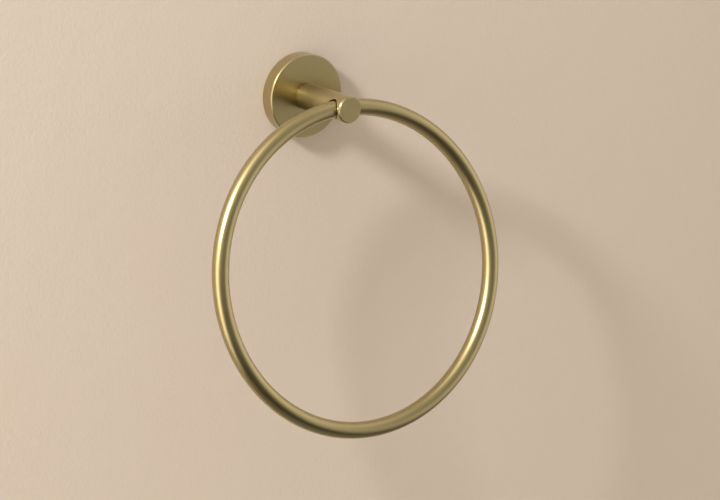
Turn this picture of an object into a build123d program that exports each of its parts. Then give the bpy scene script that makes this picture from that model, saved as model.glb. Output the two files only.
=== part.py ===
"""Wall-mounted towel ring: a round plate, a post with a cross hole, and a tube ring that swings in the hole.

The wall is the plane y = 0 and the object stands out from it towards -Y. +Z is up and +X is to the right.
The origin is where the post's axis meets the wall. All lengths are in millimetres.
"""

import os
from math import asin, atan, cos, degrees, radians, sin, tan

from build123d import *

# The ring
RING_OUTER_D = 200.0
TUBE_D = 10.0
TUBE_WALL = 1.2
RING_TILT = 10.5  # degrees that the ring stands out from plumb, as it was set by hand
RING_DROP = 0.1  # the tube lies this far below the middle of the hole it passes through
END_GAP = 3.4  # between the ring's two ends, inside the post
SPIGOT_LENGTH = 26.0
SPIGOT_CLEARANCE = 0.05

# The post
POST_D = 16.0
POST_END = 55.5  # distance from the wall to the end of the post
POST_CHAMFER = 0.8
FOOT_D = 13.0  # the foot is turned down, and a bevel leads from it to the full diameter
HOLE_D = 11.2
HOLE_EASING = 0.4

# The cover plate
PLATE_D = 50.0
PLATE_DEPTH = 9.4
PLATE_BEVEL = 0.6
RIM_WALL = 2.6
FACE_WALL = 2.4
INNER_CORNER = 1.0  # bevel left in the cup's inner corner
SEAT_DEPTH = 0.5
SEAT_CLEARANCE = 0.05

# The wall bracket
BRACKET_THICKNESS = 5.0
BRACKET_CLEARANCE = 0.4
BRACKET_BORE_D = 16.0
GROOVE_DEPTH = 1.6
WALL_SCREW_D = 4.5
WALL_SCREW_HEAD_D = 8.8
WALL_SCREW_SPACING = 30.0

# Fasteners
THREAD_CLEARANCE = 0.02  # a screw's shank is this much smaller than its hole, all round
EASE = 0.3  # small chamfer on plain turned edges
POST_SCREW_D = 5.0
POST_SCREW_LENGTH = 12.0
POST_SCREW_HEAD_D = 8.5
POST_SCREW_HOLE_D = 5.4
POST_SCREW_SOCKET = 4.0
WASHER_D = 9.2
WASHER_THICKNESS = 1.2
WASHER_SPLIT = 0.8
GRUB_D = 4.0
GRUB_SOCKET = 2.0
GRUB_SOCKET_DEPTH = 1.5
CONE_FLAT_R = 0.4
GRUB_OFFSET = 0.4  # the cover's screw stands this far in front of the groove, to draw the cover to the wall
GRUB_SINK = 0.2  # how far a grub screw lies below the surface it enters
DOG_D = 2.4
DOG_GAP = 0.08  # between the dog point and the spigot that it rides on
PIN_D = 2.0
PIN_LENGTH = 5.5
DRILL_POINT = 118.0  # degrees, the cone at the bottom of a drilled hole

# Worked out from the above
POST_R = POST_D / 2
FOOT_R = FOOT_D / 2
HOLE_DEPTH = POST_END - POST_R  # the cross hole lies one post radius from the post's end
TUBE_R = TUBE_D / 2
TUBE_BORE_R = TUBE_R - TUBE_WALL
RING_R = RING_OUTER_D / 2 - TUBE_R
SPIGOT_R = TUBE_BORE_R - SPIGOT_CLEARANCE
PLATE_R = PLATE_D / 2
CAVITY_R = PLATE_R - RIM_WALL
CAVITY_DEPTH = PLATE_DEPTH - FACE_WALL
SEAT = PLATE_DEPTH - SEAT_DEPTH
BRACKET_R = CAVITY_R - BRACKET_CLEARANCE
GROOVE_AT = BRACKET_THICKNESS / 2
COVER_GRUB_AT = GROOVE_AT + GRUB_OFFSET
PIN_RADIUS = (POST_SCREW_HOLE_D / 2 + FOOT_R) / 2  # how far the pin is from the post's axis

# Local +Z points out of the wall in the first, and up through the underside in the other two
OUTWARD = Plane(origin=(0, 0, 0), x_dir=(1, 0, 0), z_dir=(0, -1, 0))
UNDER_RIM = Plane(origin=(0, -COVER_GRUB_AT, -PLATE_R), x_dir=(1, 0, 0), z_dir=(0, 0, 1))
UNDER_POST = Plane(origin=(0, -HOLE_DEPTH, -POST_R), x_dir=(1, 0, 0), z_dir=(0, 0, 1))

# The ring's own plane: its origin is the ring's centre and local +Y runs to the ring's top
TILT = radians(RING_TILT)
RING_UP = Vector(0, sin(TILT), cos(TILT))
RING_TOP = Vector(0, -HOLE_DEPTH, -RING_DROP)
RING_PLANE = Plane(
    origin=RING_TOP - RING_UP * RING_R, x_dir=(1, 0, 0), z_dir=(0, -cos(TILT), sin(TILT))
)


def turned(*outline):
    """Solid turned about local Z, from an outline of (radius, height) points."""
    return revolve(make_face(Plane.XZ * Polyline(*outline, close=True)), Axis.Z)


def drilled(radius, start, depth):
    """The space that a drill leaves: a cylinder from start to depth, with the drill's cone at its end."""
    cone = radius / tan(radians(DRILL_POINT / 2))
    return turned((0, start), (radius, start), (radius, depth), (0, depth + cone))


def hex_socket(across_flats, depth):
    """The space of a hexagon key's socket, entered at z = 0."""
    return extrude(RegularPolygon(across_flats / 2, 6, major_radius=False), depth)


def bent_bar(radius, bore, start, sweep):
    """Round bar, or tube with a bore, bent round the ring's centre from start degrees past the top."""
    section = Circle(radius)
    if bore:
        section -= Circle(bore)
    turn = Rotation(0, 0, start)
    placed = RING_PLANE * turn * Pos(0, RING_R) * Rotation(0, 90, 0) * section
    return revolve(placed, Axis(RING_PLANE.origin, RING_PLANE.z_dir), sweep)


def end_edges(bar, radius):
    """The circular edges of a bent bar's two end faces that have this radius."""
    circles = bar.edges().filter_by(GeomType.CIRCLE)
    return circles.filter_by(lambda edge: abs(edge.radius - radius) < 0.01)


def wall_bracket():
    """Turned disc that is screwed to the wall, with a vee groove round its rim."""
    front, rim = BRACKET_THICKNESS, BRACKET_R
    disc = OUTWARD * turned(
        (BRACKET_BORE_D / 2, 0),
        (rim - EASE, 0),
        (rim, EASE),
        (rim, GROOVE_AT - GROOVE_DEPTH),
        (rim - GROOVE_DEPTH, GROOVE_AT),
        (rim, GROOVE_AT + GROOVE_DEPTH),
        (rim, front - EASE),
        (rim - EASE, front),
        (BRACKET_BORE_D / 2, front),
    )
    hole_r, head_r = WALL_SCREW_D / 2, WALL_SCREW_HEAD_D / 2
    countersunk = turned(
        (0, 0), (hole_r, 0), (hole_r, front - (head_r - hole_r)), (head_r, front), (0, front)
    )
    for side in (-1, 1):
        disc -= OUTWARD * Pos(0, side * WALL_SCREW_SPACING / 2) * countersunk
    return disc


def pin_hole(start, depth):
    """Straight hole for the locating pin, above the post's screw."""
    height = depth - start
    return OUTWARD * Pos(0, PIN_RADIUS, start + height / 2) * Cylinder(PIN_D / 2, height)


def cover_plate():
    """Turned cup that slides over the bracket, with a seat for the post in its face."""
    hole_r, seat_r = POST_SCREW_HOLE_D / 2, FOOT_R + SEAT_CLEARANCE
    cup = OUTWARD * turned(
        (hole_r, CAVITY_DEPTH),
        (CAVITY_R - INNER_CORNER, CAVITY_DEPTH),
        (CAVITY_R, CAVITY_DEPTH - INNER_CORNER),
        (CAVITY_R, 0),
        (PLATE_R - EASE, 0),
        (PLATE_R, EASE),
        (PLATE_R, PLATE_DEPTH - PLATE_BEVEL),
        (PLATE_R - PLATE_BEVEL, PLATE_DEPTH),
        (seat_r, PLATE_DEPTH),
        (seat_r, SEAT),
        (hole_r, SEAT),
    )
    cup -= pin_hole(CAVITY_DEPTH, SEAT)
    tapped = UNDER_RIM * Cylinder(GRUB_D / 2, 2 * RIM_WALL + EASE)
    return cup - tapped


def post():
    """Round bar with a bevelled foot, a chamfered end, a cross hole with eased mouths, and tapped holes.

    The bevel starts at the plate's face, so that a vee groove shows where the post meets the plate.
    """
    bar = OUTWARD * turned(
        (0, SEAT),
        (FOOT_R, SEAT),
        (FOOT_R, PLATE_DEPTH),
        (POST_R, PLATE_DEPTH + POST_R - FOOT_R),
        (POST_R, POST_END - POST_CHAMFER),
        (POST_R - POST_CHAMFER, POST_END),
        (0, POST_END),
    )
    bar -= Pos(0, -HOLE_DEPTH, 0) * Rotation(0, 90, 0) * Cylinder(HOLE_D / 2, 2 * POST_D)
    mouths = bar.edges().filter_by(
        lambda edge: edge.geom_type not in (GeomType.CIRCLE, GeomType.LINE)
    )
    bar = chamfer(mouths, HOLE_EASING)
    thread_depth = SEAT + POST_SCREW_LENGTH
    bar -= OUTWARD * drilled(POST_SCREW_D / 2, SEAT, thread_depth)
    bar -= pin_hole(SEAT, SEAT + PIN_LENGTH - FACE_WALL + SEAT_DEPTH)
    return bar - UNDER_POST * Pos(0, 0, POST_R / 2) * Cylinder(GRUB_D / 2, POST_R)


def post_screw():
    """Socket-head screw, entered from the wall side, that pulls the post onto the plate."""
    head_r, head_height = POST_SCREW_HEAD_D / 2, POST_SCREW_D
    shank_r = POST_SCREW_D / 2 - THREAD_CLEARANCE
    length = head_height + POST_SCREW_LENGTH
    screw = turned(
        (0, 0),
        (head_r - EASE, 0),
        (head_r, EASE),
        (head_r, head_height),
        (shank_r, head_height),
        (shank_r, length - 2 * EASE),
        (shank_r - 2 * EASE, length),
        (0, length),
    )
    screw -= hex_socket(POST_SCREW_SOCKET, head_height / 2)
    return OUTWARD * Pos(0, 0, CAVITY_DEPTH - WASHER_THICKNESS - head_height) * screw


def spring_washer():
    """Split washer, pressed flat under the post screw's head, with its slanting cut."""
    outer, inner = WASHER_D / 2, POST_SCREW_D / 2 + SEAT_CLEARANCE
    washer = turned(
        (inner, 0), (outer, 0), (outer, WASHER_THICKNESS), (inner, WASHER_THICKNESS)
    )
    cut = Pos(outer, 0, WASHER_THICKNESS / 2) * Rotation(30, 0, 0) * Box(
        2 * outer, WASHER_SPLIT, 4 * WASHER_THICKNESS
    )
    return OUTWARD * Pos(0, 0, CAVITY_DEPTH - WASHER_THICKNESS) * (washer - cut)


def locating_pin():
    """Small pin, off the post's axis, that keeps the post from turning on the plate."""
    radius, ease = PIN_D / 2, EASE / 2
    pin = turned(
        (0, 0),
        (radius - ease, 0),
        (radius, ease),
        (radius, PIN_LENGTH - ease),
        (radius - ease, PIN_LENGTH),
        (0, PIN_LENGTH),
    )
    return OUTWARD * Pos(0, PIN_RADIUS, CAVITY_DEPTH) * pin


def cover_grub_screw():
    """Cone-point screw through the cover's rim, whose cone bears on the groove's front flank."""
    radius = GRUB_D / 2 - THREAD_CLEARANCE
    groove_bottom = PLATE_R - BRACKET_R + GROOVE_DEPTH
    tip = groove_bottom - GRUB_OFFSET - CONE_FLAT_R - THREAD_CLEARANCE
    screw = turned(
        (0, GRUB_SINK),
        (radius - EASE, GRUB_SINK),
        (radius, GRUB_SINK + EASE),
        (radius, tip - radius + CONE_FLAT_R),
        (CONE_FLAT_R, tip),
        (0, tip),
    )
    return UNDER_RIM * (screw - Pos(0, 0, GRUB_SINK) * hex_socket(GRUB_SOCKET, GRUB_SOCKET_DEPTH))


def ring_screw():
    """Dog-point screw from the post's underside; its dog stands in the gap between the ring's ends."""
    radius, dog_r = GRUB_D / 2 - THREAD_CLEARANCE, DOG_D / 2
    shoulder = POST_R - HOLE_D / 2
    tip = POST_R - RING_DROP - SPIGOT_R - DOG_GAP
    screw = turned(
        (0, GRUB_SINK),
        (radius - EASE, GRUB_SINK),
        (radius, GRUB_SINK + EASE),
        (radius, shoulder - EASE),
        (dog_r, shoulder),
        (dog_r, tip),
        (0, tip),
    )
    return UNDER_POST * (screw - Pos(0, 0, GRUB_SINK) * hex_socket(GRUB_SOCKET, GRUB_SOCKET_DEPTH))


def ring_tube():
    """The ring: tube bent to nearly a full turn, its two ends a short way apart inside the post.

    One half is bent from its end to the ring's lowest point, and its mirror image is joined to it there.
    """
    half_gap = degrees(asin(END_GAP / 2 / RING_R))
    half = bent_bar(TUBE_R, TUBE_BORE_R, half_gap, 180 - half_gap)
    ends = end_edges(half, TUBE_R).filter_by(lambda edge: edge.center().Z > -RING_R)
    half = chamfer(ends, EASE)
    return half + mirror(half, Plane.YZ)


def ring_spigot():
    """Curved pin that joins the ring's two ends."""
    half_turn = degrees(atan(SPIGOT_LENGTH / 2 / RING_R))
    return chamfer(end_edges(bent_bar(SPIGOT_R, 0, -half_turn, 2 * half_turn), SPIGOT_R), 2 * EASE)


PIECES = (
    wall_bracket,
    cover_plate,
    cover_grub_screw,
    post,
    post_screw,
    spring_washer,
    locating_pin,
    ring_tube,
    ring_spigot,
    ring_screw,
)

os.makedirs("parts", exist_ok=True)
for piece in PIECES:
    export_step(piece(), f"parts/{piece.__name__}.step")
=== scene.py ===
# %% [markdown]
# A towel ring for a bathroom wall: a round plate, a short post and a large ring of tube, in satin brass.
# The construction is already there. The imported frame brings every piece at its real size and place,
# so this lesson only gives the pieces their finish, cuts real threads on the screws,
# and sets up a wall, a lamp, a studio and a camera.
# One unit in Blender is a metre, so a millimetre is 0.001.

# %% Load the frame
import math

import bpy
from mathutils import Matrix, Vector


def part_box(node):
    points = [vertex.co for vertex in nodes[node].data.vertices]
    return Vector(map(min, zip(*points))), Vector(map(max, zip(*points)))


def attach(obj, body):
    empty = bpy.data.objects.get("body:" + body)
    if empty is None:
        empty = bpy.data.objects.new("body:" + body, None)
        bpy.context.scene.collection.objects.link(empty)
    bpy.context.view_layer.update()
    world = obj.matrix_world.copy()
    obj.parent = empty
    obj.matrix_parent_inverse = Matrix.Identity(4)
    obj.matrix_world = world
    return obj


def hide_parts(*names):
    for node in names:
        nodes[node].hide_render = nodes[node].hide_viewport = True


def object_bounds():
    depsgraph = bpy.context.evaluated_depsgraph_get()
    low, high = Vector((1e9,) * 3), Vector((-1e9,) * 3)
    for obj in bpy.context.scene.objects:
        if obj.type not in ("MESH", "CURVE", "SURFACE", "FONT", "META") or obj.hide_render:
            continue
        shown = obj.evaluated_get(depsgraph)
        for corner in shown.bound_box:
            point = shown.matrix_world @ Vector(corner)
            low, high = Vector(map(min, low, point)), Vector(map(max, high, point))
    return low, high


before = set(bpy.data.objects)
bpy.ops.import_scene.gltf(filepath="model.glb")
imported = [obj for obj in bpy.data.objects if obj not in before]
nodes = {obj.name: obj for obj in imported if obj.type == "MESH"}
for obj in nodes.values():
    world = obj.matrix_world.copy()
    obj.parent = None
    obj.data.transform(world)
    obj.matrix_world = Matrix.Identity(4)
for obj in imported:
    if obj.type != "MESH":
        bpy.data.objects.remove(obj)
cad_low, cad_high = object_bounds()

MM = 0.001
print("pieces:", ", ".join(sorted(nodes)))
print("box in mm:", [round((high - low) / MM, 1) for low, high in zip(cad_low, cad_high)])


# %% [markdown]
# The lamp and the soft glows of this studio are placed by a direction seen from the ring.
# A direction is easiest to think of as so many degrees to the left and so many degrees up,
# for somebody who stands with their back to the wall. One small helper turns that into a vector.

# %% A helper for directions
def heading(left, up):
    """The direction that lies left and up degrees from straight out of the wall."""
    left, up = math.radians(left), math.radians(up)
    return Vector((-math.sin(left) * math.cos(up), -math.cos(left) * math.cos(up), math.sin(up)))


print("straight out of the wall is", tuple(heading(0, 0)))


# %% [markdown]
# The photograph looks at the ring from the left and from a little above.
# A camera can be aimed with a constraint, but plain numbers are steadier: the place and the two angles
# were found once by matching the outline of ring, plate and post.
# The lens is long and the camera nearly two metres away, which keeps the ring's oval free of the stretch
# that a close camera gives.

# %% Camera
CAMERA_AT = (-0.9548, -1.4641, 0.3829)
VIEW_LEFT = 34.32
VIEW_DOWN = 15.35
LENS = 150.0

bpy.ops.object.camera_add(
    location=CAMERA_AT,
    rotation=(math.radians(90 - VIEW_DOWN), 0, -math.radians(VIEW_LEFT)),
)
camera = bpy.context.object
camera.data.lens = LENS
bpy.context.scene.camera = camera
bpy.context.scene.view_settings.view_transform = "Standard"
cad_middle = (cad_low + cad_high) / 2
print("camera", round((camera.location - cad_middle).length, 2), "m from the middle of the object")


# %% [markdown]
# A material is a small network of nodes. Written out in full, each node takes three or four lines,
# and the idea drowns in them. The next helper adds a node and fills its sockets in one line:
# a socket gets either a plain value or the output of another node, which is then linked to it.

# %% Helpers for materials
def add_node(tree, kind, **sockets):
    """A new node of this kind. Each named socket gets a value, or a link from another node's output."""
    made = tree.nodes.new("ShaderNode" + kind)
    for name, value in sockets.items():
        fill(tree, made.inputs[name.replace("_", " ")], value)
    return made


def fill(tree, socket, value):
    if isinstance(value, bpy.types.NodeSocket):
        tree.links.new(value, socket)
    else:
        socket.default_value = value


def start_material(name, colour, roughness, metallic=0.0):
    """A material with these plain values, its tree, and the shader that the finish is then added to."""
    material = bpy.data.materials.new(name)
    material.use_nodes = True
    tree = material.node_tree
    shader = tree.nodes["Principled BSDF"]
    fill(tree, shader.inputs["Base Color"], (*colour, 1))
    fill(tree, shader.inputs["Roughness"], roughness)
    fill(tree, shader.inputs["Metallic"], metallic)
    return material, tree, shader


# %% [markdown]
# Finishes are made of noise, but noise by itself always looks like clouds.
# What makes it look like a trace of a tool is where it is read: the next helpers take the piece's own
# coordinates and hand back others, which run round the lathe's axis or along the ring's tube.
# The vector node is used for this, since it works on all three numbers at once.
# Two more helpers use what a noise gives: as a number within limits, and as a colour between two others.

# %% Helpers for coordinates and noise
def vector_math(tree, operation, first, second=None, scale=None):
    """The output of one step of vector arithmetic: a vector, or a number for LENGTH and DOT_PRODUCT."""
    made = add_node(tree, "VectorMath")
    made.operation = operation
    fill(tree, made.inputs[0], first)
    if second is not None:
        fill(tree, made.inputs[1], second)
    if scale is not None:
        fill(tree, made.inputs["Scale"], scale)
    return made.outputs["Value" if operation in ("LENGTH", "DOT_PRODUCT") else "Vector"]


def object_place(tree):
    return add_node(tree, "TexCoord").outputs["Object"]


def vary(tree, noise, low, high):
    """A number that follows a noise's middle range, from low to high."""
    spread = add_node(
        tree, "MapRange", Value=noise, From_Min=0.3, From_Max=0.7, To_Min=low, To_Max=high
    )
    return spread.outputs["Result"]


def drift_colour(tree, shader, share, colour, other):
    """Gives a shader a colour between two others: share is 0 for the first and 1 for the second."""
    tone = add_node(tree, "Mix")
    tone.data_type = "RGBA"
    fill(tree, tone.inputs["Factor"], share)
    fill(tree, tone.inputs["A"], (*colour, 1))
    fill(tree, tone.inputs["B"], (*other, 1))
    tree.links.new(tone.outputs["Result"], shader.inputs["Base Color"])


# %% [markdown]
# The wall is a smooth plastered wall with matt paint. Up close such paint is never even:
# the roller leaves a faint stipple, and the plaster under it is a little wavy.
# Both are far too shallow to model, so they are a bump, and the paint's tone drifts very slightly.
# The wall is painted on its front only. Seen from behind it is clear, so that the back of the plate,
# which sits flat on the wall, can be looked at too.
# The scale of a noise says how many lumps it has in a metre.

# %% Wall paint
WALL_COLOUR = (0.62, 0.535, 0.455)
WALL_WARM = (0.623, 0.532, 0.448)
WALL_ROUGHNESS = 0.8
TONE_SCALE = 9.0
WAVE_SCALE = 45.0
WAVE_STRENGTH = 0.3
WAVE_HEIGHT = 0.6 * MM
STIPPLE_SCALE = 420.0
STIPPLE_STRENGTH = 0.9
STIPPLE_HEIGHT = 0.2 * MM


def wall_paint():
    material, tree, shader = start_material("wall_paint", WALL_COLOUR, WALL_ROUGHNESS)
    place = object_place(tree)
    drift = add_node(tree, "TexNoise", Vector=place, Scale=TONE_SCALE, Detail=2.0)
    drift_colour(tree, shader, vary(tree, drift.outputs["Fac"], 0.0, 1.0), WALL_COLOUR, WALL_WARM)

    waves = add_node(tree, "TexNoise", Vector=place, Scale=WAVE_SCALE, Detail=2.0)
    wavy = add_node(
        tree, "Bump", Height=waves.outputs["Fac"], Strength=WAVE_STRENGTH, Distance=WAVE_HEIGHT
    )
    stipple = add_node(
        tree, "TexNoise", Vector=place, Scale=STIPPLE_SCALE, Detail=3.0, Roughness=0.6
    )
    relief = add_node(
        tree, "Bump", Height=stipple.outputs["Fac"], Strength=STIPPLE_STRENGTH,
        Distance=STIPPLE_HEIGHT, Normal=wavy.outputs["Normal"],
    )
    tree.links.new(relief.outputs["Normal"], shader.inputs["Normal"])

    clear = add_node(tree, "BsdfTransparent")
    side = add_node(tree, "NewGeometry")
    one_sided = add_node(tree, "MixShader", Fac=side.outputs["Backfacing"])
    tree.links.new(shader.outputs["BSDF"], one_sided.inputs[1])
    tree.links.new(clear.outputs["BSDF"], one_sided.inputs[2])
    tree.links.new(one_sided.outputs["Shader"], tree.nodes["Material Output"].inputs["Surface"])
    return material


paint = wall_paint()
print(paint.name, "is made of", len(paint.node_tree.nodes), "nodes")


# %% [markdown]
# The wall could be a plain plane, but then it would shut off the plate's hollow back.
# So it starts as a circle just smaller than the plate, and the circle's edge is pulled outward:
# that leaves a round opening that the plate covers from the front.
# The object's back stays a hair in front of the wall, so that the two never share a surface.

# %% Wall
WALL_GAP = 0.2 * MM
OPENING_R = 24.5 * MM
WALL_REACH = 3.0
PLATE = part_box("cover_plate")


def deselect():
    """Selects nothing. An operator acts on all that is selected, as the frame's pieces are at first."""
    bpy.ops.object.select_all(action="DESELECT")


deselect()
bpy.ops.mesh.primitive_circle_add(
    vertices=96, radius=OPENING_R, location=(0, WALL_GAP, 0), rotation=(math.radians(90), 0, 0)
)
wall = bpy.context.object
wall.name = "wall"
bpy.ops.object.mode_set(mode="EDIT")
bpy.ops.mesh.select_all(action="SELECT")
bpy.ops.mesh.extrude_edges_move()
bpy.ops.transform.resize(value=(WALL_REACH / OPENING_R, 1, WALL_REACH / OPENING_R))
bpy.ops.mesh.select_all(action="SELECT")
bpy.ops.mesh.normals_make_consistent(inside=False)
bpy.ops.object.mode_set(mode="OBJECT")
bpy.ops.object.transform_apply(location=True, rotation=True, scale=True)
if wall.data.polygons[0].normal.y > 0:
    wall.data.flip_normals()
wall.data.materials.append(paint)
print("the wall's opening is hidden by a plate", round((PLATE[1] - PLATE[0]).x / MM, 1), "mm across")


# %% [markdown]
# A plain pale floor lies half a metre below. It is out of the photograph's view,
# but it catches the object's shadow in other views and throws a little light back up.
# In a real room it would be over a metre down, so it is kept out of the brass's reflections.

# %% Floor
FLOOR_AT = -0.5
FLOOR_COLOUR = (0.62, 0.55, 0.47)
FLOOR_ROUGHNESS = 0.7
GRIT_SCALE = 60.0
GRIT_CHANGE = 0.08

deselect()
bpy.ops.mesh.primitive_plane_add(size=2 * WALL_REACH, location=(0, -WALL_REACH, FLOOR_AT))
floor = bpy.context.object
floor.name = "floor"
bpy.ops.object.transform_apply(location=True, rotation=True, scale=True)
floor_material, tree, shader = start_material("floor_paint", FLOOR_COLOUR, FLOOR_ROUGHNESS)
grit = add_node(tree, "TexNoise", Vector=object_place(tree), Scale=GRIT_SCALE, Detail=4.0)
grit_roughness = vary(
    tree, grit.outputs["Fac"], FLOOR_ROUGHNESS - GRIT_CHANGE, FLOOR_ROUGHNESS + GRIT_CHANGE
)
tree.links.new(grit_roughness, shader.inputs["Roughness"])
floor.data.materials.append(floor_material)
floor.visible_glossy = False
print("floor", round(-FLOOR_AT / MM), "mm below the post")


# %% [markdown]
# One soft lamp stands far to the left and above, nearly in line with the wall.
# It gives the ring its shadow to the right, and its size sets how soft the shadow's edge is.
# An area lamp was chosen because its shadow is sharp where the post meets the wall
# and gets softer the further the ring stands off it, as it does in a room.

# %% Lamp
KEY_LEFT = 69.9
KEY_UP = 35.8
KEY_AWAY = 2.0
KEY_SIZE = 0.28
KEY_POWER = 38
KEY_AIM = Vector((0, -0.05, -0.08))

toward = heading(KEY_LEFT, KEY_UP)
deselect()
bpy.ops.object.light_add(type="AREA", location=KEY_AIM + toward * KEY_AWAY)
key = bpy.context.object
key.rotation_euler = toward.to_track_quat("Z", "Y").to_euler()
key.data.shape = "SQUARE"
key.data.size = KEY_SIZE
key.data.energy = KEY_POWER
key.visible_camera = False
print("lamp of", key.data.energy, "W at", [round(c, 2) for c in key.location])


# %% [markdown]
# Metal has next to no colour of its own shade: it shows the room. So the room matters more than the lamp.
# The world is therefore built from a few soft glows, each with a direction, a size and a colour:
# bright along the wall on the left, moderate on the right and overhead, dark in front.
# Soft glows do the work of windows and pale walls, without the hard edges that a lamp's panel
# would show in a round bar. They can be seen too: from the side, the bright left one is the background.
# The last glow is behind the wall. It lights only the back, which would be in the dark without it.

# %% World
def glow(tree, direction, centre, reach, colour):
    """Light from the world that is full at a direction and fades out reach degrees away from it."""
    nearness = vector_math(tree, "DOT_PRODUCT", direction, centre)
    fade = add_node(
        tree, "MapRange", Value=nearness, From_Min=math.cos(math.radians(reach)), From_Max=1.0
    )
    fade.interpolation_type = "SMOOTHSTEP"
    return vector_math(tree, "SCALE", colour, scale=fade.outputs["Result"])


GLOWS = (
    (heading(0, 90), 140, (0.54, 0.52, 0.475)),  # ceiling
    (heading(0, -90), 60, (0.26, 0.25, 0.22)),  # floor
    (heading(88, -6), 46, (2.8, 2.7, 2.45)),  # left, along the wall
    (heading(-62, -6), 42, (0.88, 0.84, 0.76)),  # right
    (heading(-85, 40), 45, (0.4, 0.385, 0.35)),  # upper right
    (heading(76, 58), 40, (1.1, 1.05, 0.98)),  # upper left
    (heading(180, 10), 75, (0.9, 0.88, 0.84)),  # behind the wall
)

world = bpy.data.worlds.new("studio")
bpy.context.scene.world = world
world.use_nodes = True
tree = world.node_tree
where = add_node(tree, "TexCoord").outputs["Generated"]
total = (0.0, 0.0, 0.0)
for centre, reach, colour in GLOWS:
    total = vector_math(tree, "ADD", total, glow(tree, where, centre, reach, colour))
tree.links.new(total, tree.nodes["Background"].inputs["Color"])
print("world of", len(GLOWS), "glows")


# %% [markdown]
# Turned work carries the trace of the lathe: rings that are finer than a hair, all round one axis.
# Such a trace isn't drawn but read: noise that only knows the distance from the axis
# and the place along it comes out the same all the way round, so it can only be rings.
# The plate, the post and the bracket share the axis that runs out of the wall.
# The small screws and the pin are made the same way, each round an axis of its own.
# Rings also spread light across themselves. A shader is told so with a direction, which is worked out
# from the surface: it is at right angles both to the way that the tool went and to the surface.

# %% Coordinates round a lathe's axis
ORIGIN = (0, 0, 0)
WALL_AXIS = (0, 1, 0)
UP_AXIS = (0, 0, 1)
SIDE_AXIS = (1, 0, 0)


def across_cut(tree):
    """The direction across the lathe's marks, on any surface turned round the axis out of the wall."""
    with_cut = vector_math(tree, "CROSS_PRODUCT", WALL_AXIS, object_place(tree))
    outward = add_node(tree, "NewGeometry").outputs["Normal"]
    return vector_math(tree, "CROSS_PRODUCT", outward, with_cut)


def turned_place(tree, centre, axis):
    """Distance from an axis through centre, and place along it, as the first two numbers of a vector."""
    from_centre = vector_math(tree, "SUBTRACT", object_place(tree), centre)
    along = vector_math(tree, "DOT_PRODUCT", from_centre, axis)
    on_axis = vector_math(tree, "SCALE", axis, scale=along)
    off_axis = vector_math(tree, "SUBTRACT", from_centre, on_axis)
    radius = vector_math(tree, "LENGTH", off_axis)
    return add_node(tree, "CombineXYZ", X=radius, Y=along).outputs["Vector"]


# %% [markdown]
# The ring is drawn tube, polished and then brushed along its length before it is lacquered.
# Its trace is made of long streaks that follow the bend. They need coordinates that bend with it:
# two numbers for the place in the tube's section, and two for the direction from the ring's middle.
# A direction has no start and no end, so the streaks close up without a seam.
# The ring leans out of the upright, and both its middle and its lean follow from its box.

# %% Coordinates along the ring
TUBE_D = 10 * MM
ring_low, ring_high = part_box("ring_tube")
ring_size = ring_high - ring_low
ring_middle = (ring_low + ring_high) / 2
ring_path_d = ring_size.x - TUBE_D
ring_lean = math.asin((ring_size.y - TUBE_D) / ring_path_d)
print("ring of", round(ring_path_d / MM, 1), "mm along the tube's middle, leaning",
      round(math.degrees(ring_lean), 1), "degrees")


def ring_place(tree):
    """The place in the tube's section, as two numbers, and the direction from the ring's middle."""
    upright = add_node(
        tree, "Mapping", Vector=object_place(tree), Location=ring_middle, Rotation=(-ring_lean, 0, 0)
    )
    upright.vector_type = "TEXTURE"
    in_plane = vector_math(tree, "MULTIPLY", upright.outputs["Vector"], (1, 0, 1))
    radius = vector_math(tree, "LENGTH", in_plane)
    sideways = vector_math(tree, "DOT_PRODUCT", upright.outputs["Vector"], (0, 1, 0))
    section = add_node(tree, "CombineXYZ", X=radius, Y=sideways).outputs["Vector"]
    return section, vector_math(tree, "NORMALIZE", in_plane)


# %% [markdown]
# Satin brass is brushed with a fine abrasive and lacquered. It is neither mirror nor matt:
# the room shows in it as broad soft patches. Three small things make it real rather than plain yellow.
# The lines of the brushing change the roughness and the surface by a trace.
# The lacquer has a faint haze that comes and goes over a few millimetres.
# And the colour drifts a little towards brown over centimetres, as lacquered brass does with age.

# %% Satin brass
BRASS_COLOUR = (0.455, 0.368, 0.175)
BRASS_BROWN = (0.42, 0.33, 0.14)
MOST_BROWN = 0.6
BROWN_SCALE = 28.0
HAZE_SCALE = 160.0
HAZE_CHANGE = 0.02
LINE_CHANGE = 0.03
LINE_STRENGTH = 0.2
LINE_DEPTH = 0.01 * MM
LACQUER = 0.7
LACQUER_ROUGHNESS = 0.25


def satin_finish(tree, shader, lines):
    """Adds lacquer, haze, drift and the given lines to a brass shader."""
    satin = shader.inputs["Roughness"].default_value
    shader.inputs["Coat Weight"].default_value = LACQUER
    shader.inputs["Coat Roughness"].default_value = LACQUER_ROUGHNESS
    place = object_place(tree)
    drift = add_node(tree, "TexNoise", Vector=place, Scale=BROWN_SCALE, Detail=2.0)
    brown = vary(tree, drift.outputs["Fac"], 0.0, MOST_BROWN)
    drift_colour(tree, shader, brown, BRASS_COLOUR, BRASS_BROWN)

    haze = add_node(tree, "TexNoise", Vector=place, Scale=HAZE_SCALE, Detail=3.0)
    line_roughness = vary(tree, lines, satin - LINE_CHANGE, satin + LINE_CHANGE)
    haze_roughness = vary(tree, haze.outputs["Fac"], -HAZE_CHANGE, HAZE_CHANGE)
    roughness = add_node(tree, "Math")
    fill(tree, roughness.inputs[0], line_roughness)
    fill(tree, roughness.inputs[1], haze_roughness)
    tree.links.new(roughness.outputs["Value"], shader.inputs["Roughness"])
    relief = add_node(tree, "Bump", Height=lines, Strength=LINE_STRENGTH, Distance=LINE_DEPTH)
    tree.links.new(relief.outputs["Normal"], shader.inputs["Normal"])


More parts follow.
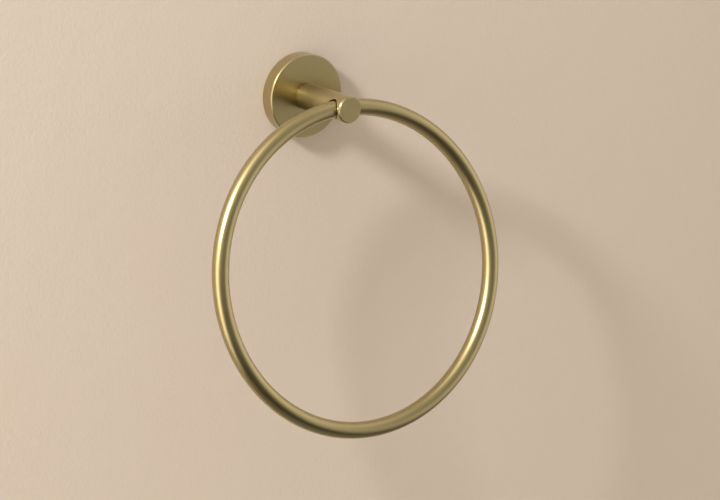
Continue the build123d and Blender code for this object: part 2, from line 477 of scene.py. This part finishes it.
# %% [markdown]
# The same finish is given in two ways. Plate and post are finished on the lathe, and their lines
# are rings. The ring can't be turned: it is brushed along its length, and its lines are streaks.
# For the streaks the noise needs four numbers. Two are the place in the tube's section, read finely,
# and two are the direction from the ring's middle, read coarsely: that draws each lump of noise out
# along the tube.

# %% Turned and drawn brass
RINGS_SCALE = 2600.0
STREAKS_SCALE = 2200.0
STREAKS_ROUND = 9.0


def turned_satin_brass(name, satin, grain):
    """Lathe-finished brass: satin is its roughness, grain how far light is spread across the cut."""
    material, tree, shader = start_material(name, BRASS_COLOUR, satin, 1.0)
    rings = turned_place(tree, ORIGIN, WALL_AXIS)
    lines = add_node(tree, "TexNoise", Vector=rings, Scale=RINGS_SCALE, Detail=2.0, Roughness=0.6)
    satin_finish(tree, shader, lines.outputs["Fac"])
    shader.inputs["Anisotropic"].default_value = grain
    tree.links.new(across_cut(tree), shader.inputs["Tangent"])
    return material


def drawn_satin_brass(name, satin):
    """Brass brushed along the ring's tube."""
    material, tree, shader = start_material(name, BRASS_COLOUR, satin, 1.0)
    section, round_ring = ring_place(tree)
    fine = vector_math(tree, "SCALE", section, scale=STREAKS_SCALE)
    stretched = vector_math(tree, "SCALE", round_ring, scale=STREAKS_ROUND)
    split = add_node(tree, "SeparateXYZ", Vector=stretched)
    deep = add_node(tree, "CombineXYZ", Z=split.outputs["X"]).outputs["Vector"]
    reading = vector_math(tree, "ADD", fine, deep)
    lines = add_node(tree, "TexNoise")
    lines.noise_dimensions = "4D"
    fill(tree, lines.inputs["Vector"], reading)
    fill(tree, lines.inputs["W"], split.outputs["Z"])
    fill(tree, lines.inputs["Scale"], 1.0)
    fill(tree, lines.inputs["Detail"], 2.0)
    satin_finish(tree, shader, lines.outputs["Fac"])
    return material


# %% [markdown]
# A CAD piece comes with a slot for its material, so a finish is put into that slot.
# The post is the roughest. Its grain spreads light along it, across its rings, as the long highlight
# in the photograph suggests. The plate and the ring spread light evenly.

# %% Brass on the post, the plate and the ring
def give(node, material):
    """Puts a material in the slots of a CAD piece."""
    for held in nodes[node].material_slots:
        held.material = material
    print(material.name, "on", node)


POST_SATIN = 0.36
POST_GRAIN = 0.5
PLATE_SATIN = 0.32
PLATE_GRAIN = 0.0
RING_SATIN = 0.33

give("post", turned_satin_brass("satin_brass_bar", POST_SATIN, POST_GRAIN))
give("cover_plate", turned_satin_brass("satin_brass_plate", PLATE_SATIN, PLATE_GRAIN))
give("ring_tube", drawn_satin_brass("satin_brass_tube", RING_SATIN))


# %% [markdown]
# Behind the plate and inside the post sit the pieces that hold it all together.
# They are never polished, and that is how they differ from the show side: the bracket is turned steel
# with a bluish zinc plating, the spigot is bare turned brass, and screws, washer and pin are stainless.
# One helper makes all of these, because they differ only in their metal, in where the lathe's axis was
# and in how fine and how smooth the cut is. The table gives each piece its row.

# %% Workshop metals
PATCH_SCALE = 240.0
MOST_DARK = 0.7
CUT_CHANGE = 0.07
CUT_STRENGTH = 0.35
CUT_DEPTH = 0.03 * MM


def turned_metal(name, metal, roughness, centre, axis, feed):
    """Bare turned metal: feed is the number of noise lumps in a metre, so a high one is a fine cut."""
    colour, dark = metal
    material, tree, shader = start_material(name, colour, roughness, 1.0)
    cut = add_node(
        tree, "TexNoise", Vector=turned_place(tree, centre, axis), Scale=feed, Detail=3.0, Roughness=0.65
    )
    patches = add_node(tree, "TexNoise", Vector=object_place(tree), Scale=PATCH_SCALE, Detail=3.0)
    drift_colour(tree, shader, vary(tree, patches.outputs["Fac"], 0.0, MOST_DARK), colour, dark)
    spread = vary(tree, cut.outputs["Fac"], roughness - CUT_CHANGE, roughness + CUT_CHANGE)
    tree.links.new(spread, shader.inputs["Roughness"])
    relief = add_node(
        tree, "Bump", Height=cut.outputs["Fac"], Strength=CUT_STRENGTH, Distance=CUT_DEPTH
    )
    tree.links.new(relief.outputs["Normal"], shader.inputs["Normal"])
    return material


def middle_of(name):
    low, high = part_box(name)
    return (low + high) / 2


ZINC = ((0.62, 0.63, 0.64), (0.5, 0.52, 0.55))
STAINLESS = ((0.58, 0.57, 0.55), (0.47, 0.46, 0.45))
BARE_BRASS = ((0.72, 0.58, 0.32), (0.6, 0.46, 0.24))
PIN_AT = middle_of("locating_pin")
SPIGOT_AT = middle_of("ring_spigot")
PLATE_SCREW_AT = middle_of("cover_grub_screw")
RING_SCREW_AT = middle_of("ring_screw")

# piece, name of its material, metal, roughness, a place on the lathe's axis, the axis, feed
METAL_PIECES = (
    ("wall_bracket", "zinc_plate", ZINC, 0.42, ORIGIN, WALL_AXIS, 1500.0),
    ("spring_washer", "stainless_washer", STAINLESS, 0.33, ORIGIN, WALL_AXIS, 2400.0),
    ("locating_pin", "stainless_pin", STAINLESS, 0.28, PIN_AT, WALL_AXIS, 3500.0),
    ("ring_spigot", "bare_brass", BARE_BRASS, 0.32, SPIGOT_AT, SIDE_AXIS, 1800.0),
    ("post_screw", "stainless_post_screw", STAINLESS, 0.3, ORIGIN, WALL_AXIS, 2600.0),
    ("cover_grub_screw", "stainless_plate_screw", STAINLESS, 0.3, PLATE_SCREW_AT, UP_AXIS, 3500.0),
    ("ring_screw", "stainless_ring_screw", STAINLESS, 0.3, RING_SCREW_AT, UP_AXIS, 3500.0),
)
for node, name, *making in METAL_PIECES:
    give(node, turned_metal(name, *making))


# %% [markdown]
# In the frame the screws are smooth pins: a thread would be wasted there, and it would slow every check.
# A real screw has a ridge that winds round its core, and it is worth making once as a mesh.
# It could be drawn turn by turn, but the Screw modifier does what a lathe does:
# it takes an outline, turns it and moves it on by one pitch for every turn.
# A thread made so sticks out at both ends. So it is cut out of a longer one:
# a second outline, turned without any pitch, is the screw's envelope, and what both share is the screw.
# The hexagon socket is a six-sided prism that is taken away.

# %% Turning an outline
TURN_STEPS = 48
TOUCHING = 0.001 * MM


def outline(name, points):
    """A line in the XZ plane through these points, each a radius and a height in millimetres."""
    deselect()
    radius, height = points[0]
    bpy.ops.mesh.primitive_plane_add(size=MM, location=(0, 0, 0))
    line = bpy.context.object
    line.name = name
    bpy.ops.object.mode_set(mode="EDIT")
    bpy.ops.mesh.select_all(action="SELECT")
    bpy.ops.mesh.merge(type="CENTER")
    bpy.ops.transform.translate(value=(radius * MM, 0, height * MM))
    for next_radius, next_height in points[1:]:
        step = ((next_radius - radius) * MM, 0, (next_height - height) * MM)
        bpy.ops.mesh.extrude_region_move(TRANSFORM_OT_translate={"value": step})
        radius, height = next_radius, next_height
    bpy.ops.object.mode_set(mode="OBJECT")
    return line


def turn(line, pitch=0.0, turns=1):
    """Winds a line round Z and merges the points that meet, on the axis or from turn to turn."""
    screw = line.modifiers.new("turning", "SCREW")
    screw.axis = "Z"
    screw.screw_offset = pitch * MM
    screw.iterations = turns
    screw.steps = TURN_STEPS
    screw.render_steps = TURN_STEPS
    screw.use_merge_vertices = pitch == 0
    screw.merge_threshold = TOUCHING
    deselect()
    line.select_set(True)
    bpy.context.view_layer.objects.active = line
    bpy.ops.object.modifier_apply(modifier=screw.name)
    bpy.ops.object.mode_set(mode="EDIT")
    bpy.ops.mesh.select_all(action="SELECT")
    bpy.ops.mesh.remove_doubles(threshold=2 * TOUCHING)
    bpy.ops.object.mode_set(mode="OBJECT")
    return line


# %% [markdown]
# A turned thread is open at both ends. Bisect cuts it flat at a height and fills the cut in one go,
# which is easier than to find the open edge and cap it. What is left is a closed shell.
# Its faces are then made to look outwards, because the cutting that follows goes by that.

# %% Cutting and joining
def cut_flat(piece, height, keep_above):
    """Cuts a turned piece at a height in millimetres, throws one side away and closes the cut."""
    bpy.ops.object.mode_set(mode="EDIT")
    bpy.ops.mesh.select_all(action="SELECT")
    bpy.ops.mesh.bisect(
        plane_co=(0, 0, height * MM), plane_no=(0, 0, 1), use_fill=True,
        clear_inner=keep_above, clear_outer=not keep_above, threshold=TOUCHING / 10,
    )
    bpy.ops.object.mode_set(mode="OBJECT")


def face_outwards(piece):
    """Turns all faces of a closed piece outwards. The piece is the one that is active; the argument piece
    is not used.
    """
    bpy.ops.object.mode_set(mode="EDIT")
    bpy.ops.mesh.select_all(action="SELECT")
    bpy.ops.mesh.normals_make_consistent(inside=False)
    bpy.ops.object.mode_set(mode="OBJECT")


def combine(piece, tool, operation):
    """Takes tool away from piece, joins the two, or keeps what both share, and removes the tool."""
    deselect()
    piece.select_set(True)
    bpy.context.view_layer.objects.active = piece
    cut = piece.modifiers.new("cut", "BOOLEAN")
    cut.operation = operation
    cut.solver = "EXACT"
    cut.object = tool
    bpy.ops.object.modifier_apply(modifier=cut.name)
    bpy.data.objects.remove(tool)


# %% [markdown]
# A metric thread has the same outline at every size: its sides lean 30 degrees from level,
# its depth is a fixed share of the pitch, and crest and root are cut flat.
# So one outline, as tall as a single turn, is all that has to be drawn.
# It is wound a few turns too far, and the two ends are cut off where the thread is full.
# The flats here are a little narrower on the crest and wider at the root than in the standard,
# by less than a tenth of a millimetre.

# %% Threaded bar
THREAD_DEPTH = 0.6134
ROOT_FLAT = 0.25
FLANK_ANGLE = math.radians(30)
EXTRA_TURNS = 3


def threaded_bar(name, diameter, pitch, bottom, top):
    """A bar with a metric thread between two heights, all in millimetres."""
    crest = diameter / 2
    root = crest - THREAD_DEPTH * pitch
    flank = THREAD_DEPTH * pitch * math.tan(FLANK_ANGLE)
    root_flat = ROOT_FLAT * pitch
    crest_flat = pitch - 2 * flank - root_flat
    heights = [0, crest_flat, crest_flat + flank, crest_flat + flank + root_flat, pitch]
    points = list(zip([crest, crest, root, root, crest], heights))
    turns = math.ceil((top - bottom) / pitch) + EXTRA_TURNS
    bar = turn(outline(name, points), pitch=pitch, turns=turns)
    bpy.ops.transform.translate(value=(0, 0, (bottom - EXTRA_TURNS / 2 * pitch) * MM))
    bpy.ops.object.transform_apply(location=True, rotation=False, scale=False)
    cut_flat(bar, bottom, keep_above=True)
    cut_flat(bar, top, keep_above=False)
    face_outwards(bar)
    return bar


# %% [markdown]
# A hexagon socket is known by the size of its key, which is measured from flat to flat.
# A circle of six points is a hexagon measured from corner to corner, so the size is converted first.
# Pulled up, it is the prism that is taken away from the screw.

# %% Hexagon for a socket
def hexagon(across_flats, bottom, top):
    """A six-sided prism between two heights, all in millimetres."""
    corner_r = across_flats / 2 / math.cos(math.radians(30))
    deselect()
    bpy.ops.mesh.primitive_circle_add(
        vertices=6, radius=corner_r * MM, fill_type="NGON", location=(0, 0, bottom * MM)
    )
    prism = bpy.context.object
    bpy.ops.object.transform_apply(location=True, rotation=True, scale=True)
    bpy.ops.object.mode_set(mode="EDIT")
    bpy.ops.mesh.select_all(action="SELECT")
    bpy.ops.mesh.extrude_region_move(TRANSFORM_OT_translate={"value": (0, 0, (top - bottom) * MM)})
    bpy.ops.object.mode_set(mode="OBJECT")
    face_outwards(prism)
    return prism


# %% [markdown]
# Three screws are made with these helpers. Each is drawn standing up, its driving end at the top,
# and then laid where its smooth stand-in is. The envelope gives a screw its ends:
# a cone point that wedges in the bracket's groove, or a dog point that reaches between the ring's ends.
# Cutting goes wrong where two surfaces lie exactly in one another. So the bar is a little longer than
# its envelope, and the envelope a little wider than the thread, and they only ever cross.

# %% Cutting a screw to its ends, and placing it
SPARE = 0.4
CLEAR = 0.05
SMOOTH_UP_TO = math.radians(25)


def screw(name, diameter, pitch, envelope, socket, socket_depth):
    """A threaded bar cut to an envelope. The envelope's last height is the end with the socket."""
    length = envelope[-1][1]
    bar = threaded_bar(name, diameter, pitch, envelope[0][1] - SPARE, length + SPARE)
    shape = turn(outline("envelope", envelope))
    face_outwards(shape)
    combine(bar, shape, "INTERSECT")
    combine(bar, hexagon(socket, length - socket_depth, length + SPARE), "DIFFERENCE")
    return bar


def place_screw(piece, node, turned, location):
    """Lays a finished screw where its node is, and lets it take that node's place and finish."""
    finish = nodes[node].material_slots[0].material
    deselect()
    piece.select_set(True)
    bpy.context.view_layer.objects.active = piece
    piece.rotation_euler = turned
    piece.location = location
    bpy.ops.object.transform_apply(location=True, rotation=True, scale=True)
    bpy.ops.object.mode_set(mode="EDIT")
    bpy.ops.mesh.select_all(action="SELECT")
    bpy.ops.mesh.remove_doubles(threshold=TOUCHING)
    bpy.ops.mesh.dissolve_degenerate(threshold=TOUCHING / 2)
    bpy.ops.object.mode_set(mode="OBJECT")
    face_outwards(piece)
    bpy.ops.object.shade_smooth_by_angle(angle=SMOOTH_UP_TO)
    piece.data.materials.clear()
    piece.data.materials.append(finish)
    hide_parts(node)
    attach(piece, "wall_unit")
    print(piece.name, "has", len(piece.data.polygons), "faces")


# %% [markdown]
# The plate's screw sits in the plate's rim, below, where nobody sees it. It is a headless M4 screw:
# its cone point pushes up into the bracket's groove and draws the plate against the wall.
# It is drawn with the point at the bottom and then turned over, because the real one points up.
# Its length and thickness are read from the stand-in.

# %% Plate screw
M4_PITCH = 0.7
M4_SOCKET = 2.0
M4_SOCKET_DEPTH = 1.5
POINT_FLAT_R = 0.4
GRUB_CHAMFER = 0.25
UPSIDE_DOWN = (math.radians(180), 0, 0)

grub_low, grub_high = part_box("cover_grub_screw")
grub_middle = (grub_low + grub_high) / 2
grub_length = (grub_high.z - grub_low.z) / MM
grub_r = (grub_high.x - grub_low.x) / 2 / MM
grub_clear_r = grub_r + CLEAR
print("plate screw", round(grub_length, 2), "mm long,", round(2 * grub_r, 2), "mm thick")

grub_envelope = [
    (0, 0),
    (POINT_FLAT_R, 0),
    (grub_clear_r, grub_clear_r - POINT_FLAT_R),
    (grub_clear_r, grub_length - GRUB_CHAMFER - CLEAR),
    (grub_r - GRUB_CHAMFER, grub_length),
    (0, grub_length),
]
grub = screw(
    "cover_grub_screw_threaded", 2 * grub_r, M4_PITCH, grub_envelope, M4_SOCKET, M4_SOCKET_DEPTH
)
place_screw(grub, "cover_grub_screw", UPSIDE_DOWN, (grub_middle.x, grub_middle.y, grub_high.z))


# %% [markdown]
# The ring's screw goes into the post from below. Its thread ends at the wall of the cross hole,
# and from there a plain pin, the dog point, reaches up between the two ends of the ring's tube.
# It keeps the tube from sliding round, and it rubs on the spigot inside, which holds the ring's angle.

# %% Ring screw
CROSS_HOLE_R = 5.6
DOG_R = 1.2
SHOULDER = 0.4
DOG_CHAMFER = 0.2

dog_low, dog_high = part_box("ring_screw")
dog_middle = (dog_low + dog_high) / 2
dog_length = (dog_high.z - dog_low.z) / MM
dog_r = (dog_high.x - dog_low.x) / 2 / MM
dog_clear_r = dog_r + CLEAR
point_length = dog_high.z / MM + CROSS_HOLE_R
print("ring screw", round(dog_length, 2), "mm long with a dog point of", round(point_length, 2), "mm")

dog_envelope = [
    (0, 0),
    (DOG_R, 0),
    (DOG_R, point_length),
    (dog_r - SHOULDER, point_length),
    (dog_clear_r, point_length + SHOULDER + CLEAR),
    (dog_clear_r, dog_length - DOG_CHAMFER - CLEAR),
    (dog_r - DOG_CHAMFER, dog_length),
    (0, dog_length),
]
dog = screw("ring_screw_threaded", 2 * dog_r, M4_PITCH, dog_envelope, M4_SOCKET, M4_SOCKET_DEPTH)
place_screw(dog, "ring_screw", UPSIDE_DOWN, (dog_middle.x, dog_middle.y, dog_high.z))


# %% [markdown]
# The post's screw holds the post on the plate from behind, before the plate goes on its bracket.
# It is an M5 cap screw. Its round head is turned as a piece of its own and joined to the bar,
# and the bar reaches a little way into the head, so that the two overlap.
# The socket is cut last, because it belongs to the head.

# %% Post screw
M5_PITCH = 0.8
M5_SOCKET = 4.0
M5_SOCKET_DEPTH = 2.5
SHANK_R = 2.48
SHANK_CHAMFER = 0.5
HEAD_R = 4.25
HEAD_HEIGHT = 5.0
HEAD_CHAMFER = 0.4
HEAD_EDGE = 0.15
OUT_OF_WALL = (math.radians(-90), 0, 0)

cap_low, cap_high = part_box("post_screw")
cap_length = (cap_high.y - cap_low.y) / MM
shank_length = cap_length - HEAD_HEIGHT
shank_clear_r = SHANK_R + CLEAR
shank_into_head = shank_length + HEAD_HEIGHT / 5
bar_into_head = shank_length + HEAD_HEIGHT / 4
print("post screw", round(cap_length, 1), "mm long with its head")

cap = threaded_bar("post_screw_threaded", 2 * SHANK_R, M5_PITCH, -SPARE, bar_into_head)
shank = turn(outline("shank", [
    (0, 0),
    (SHANK_R - SHANK_CHAMFER, 0),
    (shank_clear_r, SHANK_CHAMFER + CLEAR),
    (shank_clear_r, shank_into_head),
    (0, shank_into_head),
]))
face_outwards(shank)
combine(cap, shank, "INTERSECT")
head = turn(outline("head", [
    (0, shank_length),
    (HEAD_R - HEAD_EDGE, shank_length),
    (HEAD_R, shank_length + HEAD_EDGE),
    (HEAD_R, cap_length - HEAD_CHAMFER),
    (HEAD_R - HEAD_CHAMFER, cap_length),
    (0, cap_length),
]))
face_outwards(head)
combine(cap, head, "UNION")
combine(cap, hexagon(M5_SOCKET, cap_length - M5_SOCKET_DEPTH, cap_length + SPARE), "DIFFERENCE")
place_screw(cap, "post_screw", OUT_OF_WALL, (0, cap_low.y, 0))
